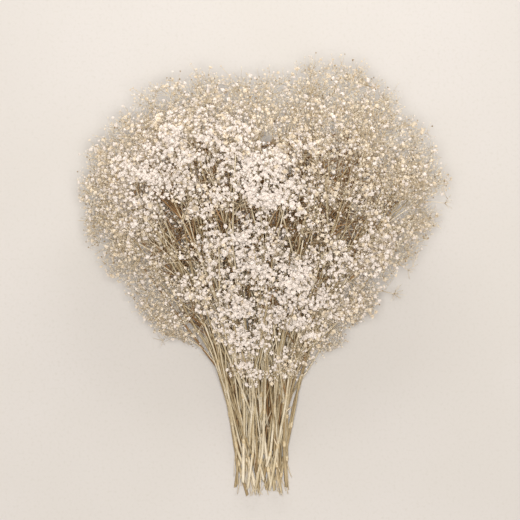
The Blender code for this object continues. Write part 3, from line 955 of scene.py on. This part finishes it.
class Growth:
    """One stem's fine growth: its branches, and the flowers that wait to be set on them."""

    def __init__(self, stem, forms, draw, box, shift):
        self.stem = stem
        self.branches = Piece(stem.name + "_branches")
        self.florets = Piece(stem.name + "_florets")
        self.forms = forms
        self.draw = draw
        self.low, self.high = box
        self.shift = shift
        self.waiting = {}
        self.limbs = []
        self.centres = []

    def within(self, point, margin):
        """The point, moved inside the bunch's own box where it lies outside it."""
        return np.clip(point, self.low + margin, self.high - margin)

    def on_stalk(self, distance):
        """A point of the stalk's middle, and its heading there."""
        beyond = min(distance + HEADING_STEP, self.stem.joints[-1])
        start, ahead = (np.array(stalk_at(self.stem, d)) + self.shift for d in (distance, beyond))
        return start, unit(ahead - start)

    def twig(self, start, end, radii, sides=3, rings=3, bow=TWIG_BOW, skin=TWIG):
        """A slightly bowed, tapering twig. It returns the direction in which it ends."""
        span = end - start
        sag = np.cross(unit(span), self.draw.normal(size=3)) * np.linalg.norm(span) * bow
        shares = np.linspace(0, 1, rings)[:, None]
        path = start + span * shares + sag * (shares * (1 - shares))
        path[:, 2] = np.maximum(path[:, 2], self.low[2] + radii[0])
        self.branches.tube(path, np.linspace(*radii, rings), sides, skin)
        if skin == TWIG:
            self.limbs.extend(path[1:-1])
        return unit(path[-1] - path[-2])

    def flower(self, base, centre, openness):
        """A flower on its pedicel: open, half open, a bud or spent, as openness and chance say."""
        draw = self.draw
        chance = draw.random()
        if chance < OPEN_SHARE * openness:
            kind = "open"
        elif chance < OPEN_SHARE * openness + HALF_SHARE:
            kind = "half"
        else:
            kind = "bud" if chance < 1 - SPENT_SHARE else "spent"
        low, high = FLOWER_RADII[kind]
        radius = low + (high - low) * draw.random() ** SIZE_BIAS
        crowded = max(0.0, crowding(centre - self.shift))
        radius *= SMALLEST + (1 - SMALLEST) * openness + CROWD_GROWTH * crowded
        centre = self.within(centre, radius)
        seen = centre - self.shift
        if beyond_outline(seen) > OUTLINE_SLACK or draw.random() < thinning_at(seen):
            return
        direction = stray(draw, unit(centre - base), NOD)
        form = int(draw.integers(FORM_VARIANTS))
        neck = centre - direction * (self.forms[kind][form].neck * radius * NECK_SINK)
        path, headings = np.array((base, neck)), np.tile(unit(neck - base), (2, 1))
        self.branches.tube(path, np.array(PEDICEL_RADII), PEDICEL_SIDES, TWIG, headings)
        petals = FRESH if draw.random() < FRESH_BASE + (1 - FRESH_BASE) * openness else AGED
        petals = {"bud": BUD, "spent": SPENT}.get(kind, petals)
        self.waiting.setdefault((kind, form), []).append((centre, direction, radius, petals))
        self.centres.append(centre)

    def set_flowers(self):
        """Sets the flowers that wait, all of one form together."""
        for (kind, form), flowers in self.waiting.items():
            shape = self.forms[kind][form]
            centres, directions, radii, petals = (np.array(values) for values in zip(*flowers))
            across = np.cross(directions, self.draw.normal(size=(len(flowers), 3)))
            across /= np.linalg.norm(across, axis=1)[:, None]
            frames = np.stack((across, np.cross(directions, across), directions), axis=2)
            spread = np.einsum("nij,kj->nki", frames, shape.points)
            points = centres[:, None] + spread * radii[:, None, None]
            firsts = np.arange(len(flowers)) * len(shape.points)
            faces = shape.faces[None] + firsts[:, None, None]
            cup = SPENT if kind == "spent" else CALYX
            numbers = np.where(shape.petals[None], petals[:, None], cup)
            self.florets.add(points.reshape(-1, 3), faces.reshape(-1, 3), numbers.reshape(-1))


def stalk_rings(stem, knots):
    """Distances of the stalk's rings: evenly spaced, with more over each swollen joint."""
    first, last = stem.joints[0], stem.joints[-1]
    near = [knot + step for knot in knots for step in JOINT_RINGS] + [last]
    marks = np.arange(first, last, RING_SPACING)
    return np.array(sorted([m for m in marks if min(abs(m - n) for n in near) > RING_ROOM] + near))


def grow_stalk(growth):
    """The stalk: fibrous skin, swollen joints, a slightly wavy run between them, a slanting cut."""
    draw = growth.draw
    stem = growth.stem
    first = stem.joints[0] + draw.uniform(*FIRST_KNOTS)
    spacing = KNOT_SPACING * draw.uniform(*KNOT_SPREAD)
    knots = np.arange(first, stem.joints[-1] - KNOT_SPACING / 2, spacing)
    distances = stalk_rings(stem, knots)
    joints = np.array(stem.joints)
    gaps = np.abs(distances[:, None] - knots).min(axis=1)
    path = np.array([stalk_at(stem, d) for d in distances]) + growth.shift
    above = np.clip(np.searchsorted(joints, distances, side="right"), 1, len(joints) - 1)
    shares = (distances - joints[above - 1]) / (joints[above] - joints[above - 1])
    waves = draw.normal(size=(len(joints), 3)) * WAVE
    path += waves[above] * (np.sin(np.pi * np.clip(shares, 0, 1)) ** 2)[:, None]
    radii = np.array([stalk_radius(stem, d) for d in distances])
    slimming = np.interp(distances, (NECK_DISTANCE, HEAD_CORE_DISTANCE), SLIMMING)
    radii *= slimming * draw.uniform(*STALK_THICKNESS)
    radii *= 1 + SWELLING * np.exp(-((gaps / SWELLING_LENGTH) ** 2))
    headings = headings_along(path)
    inner = path[0] + headings[0] * PITH_DEPTH
    path = np.vstack((inner, path[0], path[0] + headings[0] * CUT_BEVEL, path[1:]))
    radii = np.concatenate(([radii[0] * share for share in PITH_SHARES], radii))
    headings = np.vstack((headings[:1], headings[:1], headings))
    # Lower-layer stalks nearly all take the darker skin as painted shade under the bundle; upper ones take
    # it now and then as real weathering
    skin = WEATHERED_AND_SHADED if draw.random() < WEATHERED_AND_SHADED_SHARES[stem.w < 0] else STALK
    numbers = np.repeat(np.where(gaps[:-1] < SWELLING_LENGTH, JOINT, skin), 2 * STALK_ROUND)
    caps = np.full(2 * (STALK_ROUND - 2), PITH)
    numbers = np.concatenate((np.full(4 * STALK_ROUND, PITH), numbers, caps))
    growth.branches.tube(path, radii, STALK_ROUND, numbers, headings)
    slant = unit(np.cross(headings[0], draw.normal(size=3))) * draw.uniform(*CUT_SLANTS)
    points = growth.branches.points[-1]
    cut = points[: 3 * STALK_ROUND]
    cut += headings[0] * ((cut - path[1]) @ slant)[:, None]
    points[:, 2] = np.maximum(points[:, 2], growth.low[2])
    growth.limbs.extend(path[3:])
    return knots


def in_head(point):
    """Whether a point is beyond the lowest flowers."""
    return math.hypot(point[0], point[1] - FAN_Y) > LOWEST_FLOWERS


def beyond_outline(point):
    """How far a point lies beyond the bunch's sides, seen from above. It is negative inside."""
    left, right = (float(np.interp(point[1], OUTLINE_Y, side)) for side in (OUTLINE_LEFT, OUTLINE_RIGHT))
    return max(left - point[0], point[0] - right)


def crowding(point):
    """A smooth field, from -1 in the head's hollows, where twigs show, to 1 where flowers crowd."""
    hollow = max(math.exp(-((point[0] - x) ** 2 + (point[1] - y) ** 2) / r**2) for x, y, r in HOLLOWS)
    return noise.noise(Vector(point) / PATCH_SIZE) * (1 - hollow) - hollow


def rim_share(point):
    """0 inside the head, rising to 1 at its outline as seen from above."""
    angle = math.degrees(math.atan2(point[0], point[1] - FAN_Y))
    share = math.hypot(point[0], point[1] - FAN_Y) / float(np.interp(angle, REACH_DEGREES, REACH))
    ends, sides = RIM_STARTS
    rim = max((share - ends) / (1 - ends), (abs(angle) / RIM_ANGLE - sides) / (1 - sides))
    return min(max(rim, 1 + beyond_outline(point) / FRINGE_WIDTHS[int(point[0] > 0)], 0.0), 1.0)


def fan_place(point):
    """Where in the fan a point is: its u, w and distance, the reverse of place."""
    distance = math.hypot(point[0], point[1] - FAN_Y)
    u = math.atan2(point[0], point[1] - FAN_Y) / HEAD_ANGLE
    return u, (point[2] - axis_height(distance)) / half_height(distance), distance


def fan_ring(point):
    """How far out in the fan a point is: 0 on its axis, 1 on its skin."""
    return math.hypot(*fan_place(point)[:2])


def thinning_at(point):
    """The share of flowers left out here: most deep inside, fewer below, in hollows and at the rim."""
    u, w, distance = fan_place(point)
    if math.hypot(u, w) < INSIDE_RING and distance < INSIDE_DEPTH * head_reach(u, w):
        return INSIDE_THINNING
    sparse = min(max(-crowding(point) * HOLLOW_SLOPE, 0), HOLLOW_THINNING)
    return max(UNDER_THINNING * (w < UNDER_FROM), RIM_THINNING * rim_share(point), sparse)


def openness_at(point):
    """How open the flowers are here, seen from above.

    Most are open along a pale band over the bunch's middle, and nearly none at the head's rim,
    where the last buds never opened.
    """
    starts = np.array(PALE_BAND[:-1])
    runs = np.array(PALE_BAND[1:]) - starts
    along = np.clip(((point[:2] - starts) * runs).sum(1) / (runs * runs).sum(1), 0, 1)
    away = np.linalg.norm(starts + runs * along[:, None] - point[:2], axis=1).min()
    pale = math.exp(-((away / BAND_WIDTH) ** 2)) * (1 + CROWD_OPENING * crowding(point))
    return min(1.0, (LEAST_OPEN + (1 - LEAST_OPEN) * pale) * (1 - RIM_FADE * rim_share(point)))


def twiglet(growth, start, towards, opened=1.0):
    """A side twig that ends in a small fork of flowers."""
    draw = growth.draw
    openness = openness_at(start - growth.shift) * opened
    end = growth.within(start + towards * draw.uniform(*TWIGLET_LENGTHS), TWIGLET_RADII[0])
    heading = growth.twig(start, end, TWIGLET_RADII)
    for _ in range(draw.integers(*TWIGLET_FLOWERS)):
        aside = stray(draw, heading * draw.uniform(*TWIGLET_ALONG), TWIGLET_STRAY)
        growth.flower(end, end + aside * draw.uniform(*PEDICELS), openness)


def dress_floret(growth, head):
    """Where the layout has one large floret, a forked cluster of small ones over the same dome."""
    draw = growth.draw
    axis = np.array(head.direction)
    centre = np.array(head.centre) + growth.shift
    base = centre - axis * head.depth
    openness = openness_at(centre - growth.shift)
    placed = [base]
    for fork in range(CLUSTER_FORKS):
        turn = 2 * math.pi * (fork + draw.uniform(-FORK_JITTER, FORK_JITTER)) / (CLUSTER_FORKS - 1)
        spread = head.radius * (draw.uniform(*FORK_SPREAD) if fork else MIDDLE_FORK)
        hub = base + turned(axis, turn) * spread + axis * head.depth * draw.uniform(*FORK_RISE)
        hub = growth.within(hub, CLUSTER_RADII[0])
        growth.twig(base, hub, CLUSTER_RADII)
        for _ in range(draw.integers(*FORK_FLOWERS)):
            best = None
            for _ in range(PLACE_TRIES):
                out = draw.normal(size=3)
                out -= axis * (out @ axis)
                tip = hub + unit(out) * head.radius * FLOWER_SPREAD * math.sqrt(draw.random())
                tip += axis * head.radius * draw.uniform(*FLOWER_RISE)
                room = np.linalg.norm(np.array(placed) - tip, axis=1).min()
                if best is None or room > best[0]:
                    best = (room, tip)
            placed.append(best[1])
            growth.flower(hub, best[1], openness)


def dress_bud(growth, start, head):
    """Where the layout has one bud, a loose fork of buds with a half-open flower among them."""
    draw = growth.draw
    axis = np.array(head.direction)
    centre = np.array(head.centre) + growth.shift
    hub = centre - axis * BUD_FORK_BACK
    growth.twig(start, hub, CLUSTER_RADII)
    openness = openness_at(centre - growth.shift) * BUD_OPENNESS
    for _ in range(draw.integers(*BUD_FLOWERS)):
        aside = stray(draw, axis * draw.uniform(*BUD_ALONG), BUD_STRAY)
        growth.flower(hub, hub + aside * draw.uniform(*BUD_PEDICELS), openness)


def grow_spray(growth, spray, heads):
    """A twig with its side twigs, and the clusters at its fork."""
    draw = growth.draw
    start, middle, hub = (np.array(point) + growth.shift for point in spray.path)
    control = 2 * middle - (start + hub) / 2
    shares = np.linspace(0, 1, TWIG_RINGS)[:, None]
    path = start * (1 - shares) ** 2 + control * 2 * shares * (1 - shares) + hub * shares**2
    path[:, 2] = np.maximum(path[:, 2], growth.low[2] + TWIG_ENDS[0])
    growth.branches.tube(path, np.linspace(*TWIG_ENDS, TWIG_RINGS), TWIG_SIDES, TWIG)
    growth.limbs.extend(path[1:])
    headings = headings_along(path)
    side = draw.choice((-1, 1))
    for point, heading in list(zip(path, headings))[2 : TWIG_RINGS - 1 : 2]:
        seen = point - growth.shift
        if not in_head(seen) or draw.random() < TWIGLET_RIM_THINNING * rim_share(seen):
            continue
        side = -side
        aside = turned(heading, draw.uniform(0, 2 * math.pi)) * side
        towards = unit(heading + aside * draw.uniform(*TWIGLET_LEAN))
        twiglet(growth, point, towards, TWIGLET_OPENNESS)
    for head in heads:
        if head and head.kind == "floret":
            calyx = np.array(head.centre - head.direction * head.depth) + growth.shift
            radii = (TWIG_ENDS[1] * FORK_SLIMMING, CLUSTER_RADII[0])
            growth.twig(hub, calyx, radii, sides=4, rings=4)
            dress_floret(growth, head)
        elif head:
            dress_bud(growth, hub, head)


def grow_shoots(growth, knots):
    """Thin side shoots that fork from the stalk's joints, with stubs where some broke off.

    Fibres hang from the lowest joint, beside its shoots.
    """
    draw = growth.draw
    for number, knot in enumerate(knots):
        start, onward = growth.on_stalk(knot)
        for _ in range(draw.integers(*SHOOTS_PER_JOINT)):
            aside = turned(onward, draw.uniform(0, 2 * math.pi))
            if aside[2] < 0 and draw.random() < UPWARD_SHARE:
                aside = -aside
            if not grow_shoot(growth, knot, start, aside):
                grow_shoot(growth, knot, start, aside * (-1, -1, 1))
            if draw.random() < STUB_CHANCE:
                stub = unit(onward - STUB_LEAN * aside) * draw.uniform(*STUB_LENGTHS)
                growth.twig(start, start + stub, STUB_RADII, sides=4)
            if number == 0:
                hanging = aside * draw.uniform(*HANGING_ASIDE) - onward * draw.uniform(*HANGING_LENGTHS)
                end = growth.within(start + hanging, HANGING_RADII[0])
                growth.twig(start, end, HANGING_RADII, sides=4, rings=5)


def grow_shoot(growth, knot, start, aside):
    """A side shoot that leaves the stalk at an angle, crosses its neighbours and forks.

    It isn't grown, and False comes back, where it would leave the bunch.
    """
    draw = growth.draw
    shift = growth.shift
    reach = min(knot + draw.uniform(*SHOOT_LENGTHS), growth.stem.joints[-1])
    if reach - knot < SHOOT_LENGTHS[0] / 2:
        return False
    lean = aside * (reach - knot) * draw.uniform(*SHOOT_LEANS)
    end = np.array(stalk_point(growth.stem, reach)) + shift + lean
    if fan_ring(end - shift) > SHOOT_RING:
        return False
    end = growth.within(end, SHOOT_RADII[0])
    if any(beyond_outline(start + (end - start) * share - shift) > 0 for share in SHOOT_TESTS):
        return False
    thick = draw.uniform(*SHOOT_THICKNESS)
    # A shoot that heads down takes the browned twig skin as painted shade for the underside; the others take
    # a stalk skin at random
    skin = INNER if aside[2] < BROWNED_AND_SHADED_BELOW else draw.choice((STALK, WEATHERED_AND_SHADED))
    radii = [radius * thick for radius in SHOOT_RADII]
    heading = growth.twig(start, end, radii, sides=5, rings=6, bow=SHOOT_BOW, skin=skin)
    flowering = in_head(end - shift)
    for _ in range(SHOOT_FORKS[flowering]):
        towards = stray(draw, heading, SHOOT_FORK)
        if flowering:
            twiglet(growth, end, towards)
            continue
        tip = growth.within(end + towards * draw.uniform(*SHOOT_ENDS), SHOOT_END_RADII[0])
        if beyond_outline(tip - shift) < 0 and fan_ring(tip - shift) < SHOOT_RING:
            growth.twig(end, tip, SHOOT_END_RADII, sides=4, rings=5, skin=skin)
    return True


def fill_bundle(growth):
    """Thin stalks deep in the bundle, in the browned twig skin that is painted shade: they darken the gaps
    between the pale ones.
    """
    draw = growth.draw
    low = growth.low[2]
    for _ in range(DEEP_STALKS):
        first = draw.uniform(*DEEP_STARTS)
        ends = []
        for distance in (max(first, growth.stem.joints[0]), first + draw.uniform(*DEEP_LENGTHS)):
            point = np.array(stalk_point(growth.stem, distance))
            point = point + draw.normal(size=3) * DEEP_SPREAD + growth.shift
            point[2] = low + (point[2] - low) * draw.uniform(*DEEP_HEIGHTS)
            ends.append(growth.within(point, DEEP_RADII[0]))
        if all(beyond_outline(end - growth.shift) < -DEEP_SETBACK for end in ends):
            growth.twig(*ends, DEEP_RADII, sides=4, rings=4, bow=SHOOT_BOW, skin=INNER)


def fill_inside(growth):
    """The twigs that crowd the inside of the head, too deep for flowers to open: browned, and darker still
    as painted shade for the head's depth.
    """
    draw = growth.draw
    for _ in range(INNER_TWIGS):
        start, onward = growth.on_stalk(draw.uniform(INNER_FROM, growth.stem.joints[-1]))
        towards = stray(draw, onward * draw.uniform(*INNER_ALONG), INNER_STRAYS[0])
        middle = start + towards * draw.uniform(*INNER_LENGTHS)
        end = middle + stray(draw, towards, INNER_STRAYS[1]) * draw.uniform(*INNER_LENGTHS)
        for first, last, radii in ((start, middle, INNER_RADII[:2]), (middle, end, INNER_RADII[1:])):
            last = growth.within(last, INNER_RADII[0])
            seen = last - growth.shift
            outside = seen[1] < INNER_LOWEST or beyond_outline(seen) > -INNER_SETBACK
            if outside or rim_share(seen) > 0 or fan_ring(seen) > INNER_TWIG_RING:
                break
            growth.twig(first, last, radii, rings=2, skin=INNER)


def skin_place(draw, shift):
    """A random place on the head's skin, or a little under it, and the way out of the head there."""
    turn = draw.uniform(0, 2 * math.pi)
    if math.sin(turn) < 0 and draw.random() < UNDERSIDE_THINNING:
        turn = -turn
    on_cap = draw.random() < COVER_CAP_SHARE
    ring = math.sqrt(draw.random()) if on_cap else draw.uniform(*COVER_RINGS)
    u, w = ring * math.cos(turn), ring * math.sin(turn)
    furthest = head_reach(u, w)
    if on_cap:
        distance = furthest * draw.uniform(*COVER_CAP_DEPTHS)
    else:
        lowest = LOWEST_COVER + COVER_FLANKS[u > 0] * u * u
        distance = lowest + (furthest - lowest) * draw.random() ** COVER_CROWDING
    point = np.array(place(u, w, distance)) + shift
    core = np.array(place(CORE_SHARES[0] * u, 0.0, CORE_SHARES[1] * distance)) + shift
    return point, unit(point - core)


def tree_of(points):
    """A tree that finds the nearest of many points."""
    tree = KDTree(len(points))
    for number, point in enumerate(points):
        tree.insert(point, number)
    tree.balance()
    return tree


def cover_head(growths, draw, shift):
    """Fills the holes in the head's skin: each gets a twiglet from the nearest limb inside it."""
    limbs = [(point, growth) for growth in growths for point in growth.limbs if in_head(point - shift)]
    limb_tree = tree_of([point for point, _ in limbs])
    for _ in range(COVER_ROUNDS):
        flowers = tree_of([centre for growth in growths for centre in growth.centres])
        for _ in range(COVER_TRIES):
            target, outward = skin_place(draw, shift)
            target = growths[0].within(target, COVER_MARGIN)
            seen = target - shift
            if flowers.find(target)[2] < COVER_ROOM or beyond_outline(seen) > 0:
                continue
            rim = rim_share(seen)
            if crowding(seen) < COVER_FROM or draw.random() < COVER_RIM_THINNING * rim:
                continue
            near = limb_tree.find_n(target, LIMBS_TRIED)
            inside = (found for found in near if (target - found[0]) @ outward > LIMB_DEPTH)
            start, number, _ = next(inside, (None, None, None))
            if start is None:
                continue
            growth = limbs[number][1]
            end = target - outward * COVER_FORK_BACK
            growth.twig(np.array(start), end, TWIGLET_RADII)
            openness = openness_at(seen)
            for _ in range(draw.integers(*COVER_FLOWERS) + round(COVER_RIM_FLOWERS * rim)):
                aside = draw.normal(size=3) * COVER_SPREAD
                centre = end + outward * draw.uniform(*COVER_FORK_DEPTHS) * COVER_FORK_BACK + aside
                growth.flower(end, centre, openness)


def layout_shift(stem, nodes):
    """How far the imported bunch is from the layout's own coordinates: one cut end tells it."""
    points = np.array([vertex.co for vertex in nodes[stem.name].data.vertices])
    end = points[points[:, 1] < points[:, 1].min() + CUT_END_DEPTH]
    return np.unique(end.round(6), axis=0).mean(axis=0) - np.array(stalk_point(stem, stem.joints[0]))


def build_bunch(nodes, box):
    stems, occupied = grow(random.Random(SEED))
    head_draw = random.Random(SEED + 1)
    fine_draw = np.random.default_rng(FINE_SEED)
    forms = flower_forms(random.Random(FINE_SEED))
    shift = layout_shift(stems[0], nodes)
    woody = branch_finishes()
    floral = floret_finishes()
    growths = [Growth(stem, forms, fine_draw, box, shift) for stem in stems]
    for growth in growths:
        grow_shoots(growth, grow_stalk(growth))
        fill_bundle(growth)
        fill_inside(growth)
        for spray in growth.stem.sprays:
            grow_spray(growth, spray, heads_of(growth.stem, spray, occupied, head_draw))
    cover_head(growths, fine_draw, shift)
    for growth in growths:
        growth.set_flowers()
        growth.branches.make(growth.stem.name, "stem", woody, True)
        growth.florets.make(growth.stem.name, "petal", floral, False)


def lay_floor():
    """A plain, pale, matt floor under the bunch."""
    mesh = bpy.data.meshes.new("floor")
    half = FLOOR_SIDE / 2
    corners = [(-half, -half, 0), (half, -half, 0), (half, half, 0), (-half, half, 0)]
    mesh.from_pydata(corners, [], [(0, 1, 2, 3)])
    # Lime plaster, trowelled smooth: pale and matt, with clouds a hand wide and a fine grain
    mesh.materials.append(finish("smooth_plaster", FLOOR_COLOURS, 160, 3.0, (0.85, 0.95), 0.02))
    floor = put_in_scene("floor", mesh)


def set_light(name, size, place_at, aim, watts):
    """A soft rectangular light that faces its aim."""
    light = bpy.data.lights.new(name, "AREA")
    light.shape = "RECTANGLE"
    light.size, light.size_y = size
    light.energy = watts
    light.color = linear(LIGHT_COLOUR)[:3]
    lamp = put_in_scene(name, light)
    lamp.location = place_at
    lamp.rotation_euler = (Vector(aim) - Vector(place_at)).to_track_quat("-Z", "Y").to_euler()


def light_studio():
    """A small light high up near the camera's axis, a weak one beyond the flowers, a pale surround."""
    set_light("overhead_light", KEY_SIZE, KEY_PLACE, KEY_AIM, KEY_WATTS)
    set_light("far_light", FAR_SIZE, FAR_PLACE, FAR_AIM, FAR_WATTS)
    world = bpy.data.worlds.new("studio")
    world.use_nodes = True
    background = world.node_tree.nodes["Background"]
    background.inputs["Color"].default_value = linear(SURROUND_COLOUR)
    background.inputs["Strength"].default_value = SURROUND_STRENGTH
    bpy.context.scene.world = world


def set_camera():
    """Straight above, far enough for the bunch to look as flat as it does in the photograph."""
    camera = bpy.data.cameras.new("overhead")
    camera.sensor_width = SENSOR
    camera.lens = SENSOR * CAMERA_HEIGHT / VIEW_WIDTH
    camera.clip_end = 4 * CAMERA_HEIGHT
    eye = put_in_scene("overhead", camera)
    eye.location = (*VIEW_CENTRE, CAMERA_HEIGHT)
    bpy.context.scene.camera = eye


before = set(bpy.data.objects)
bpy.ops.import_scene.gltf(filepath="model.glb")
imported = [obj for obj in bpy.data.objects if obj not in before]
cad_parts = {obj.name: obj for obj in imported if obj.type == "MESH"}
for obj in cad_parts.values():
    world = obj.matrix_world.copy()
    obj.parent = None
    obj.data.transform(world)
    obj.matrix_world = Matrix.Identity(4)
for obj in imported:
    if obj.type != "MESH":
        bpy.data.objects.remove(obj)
cad_box = [np.array(corner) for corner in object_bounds()]
build_bunch(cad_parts, cad_box)
lay_floor()
light_studio()
set_camera()
bpy.context.scene.view_settings.view_transform = "Standard"
bpy.context.view_layer.update()
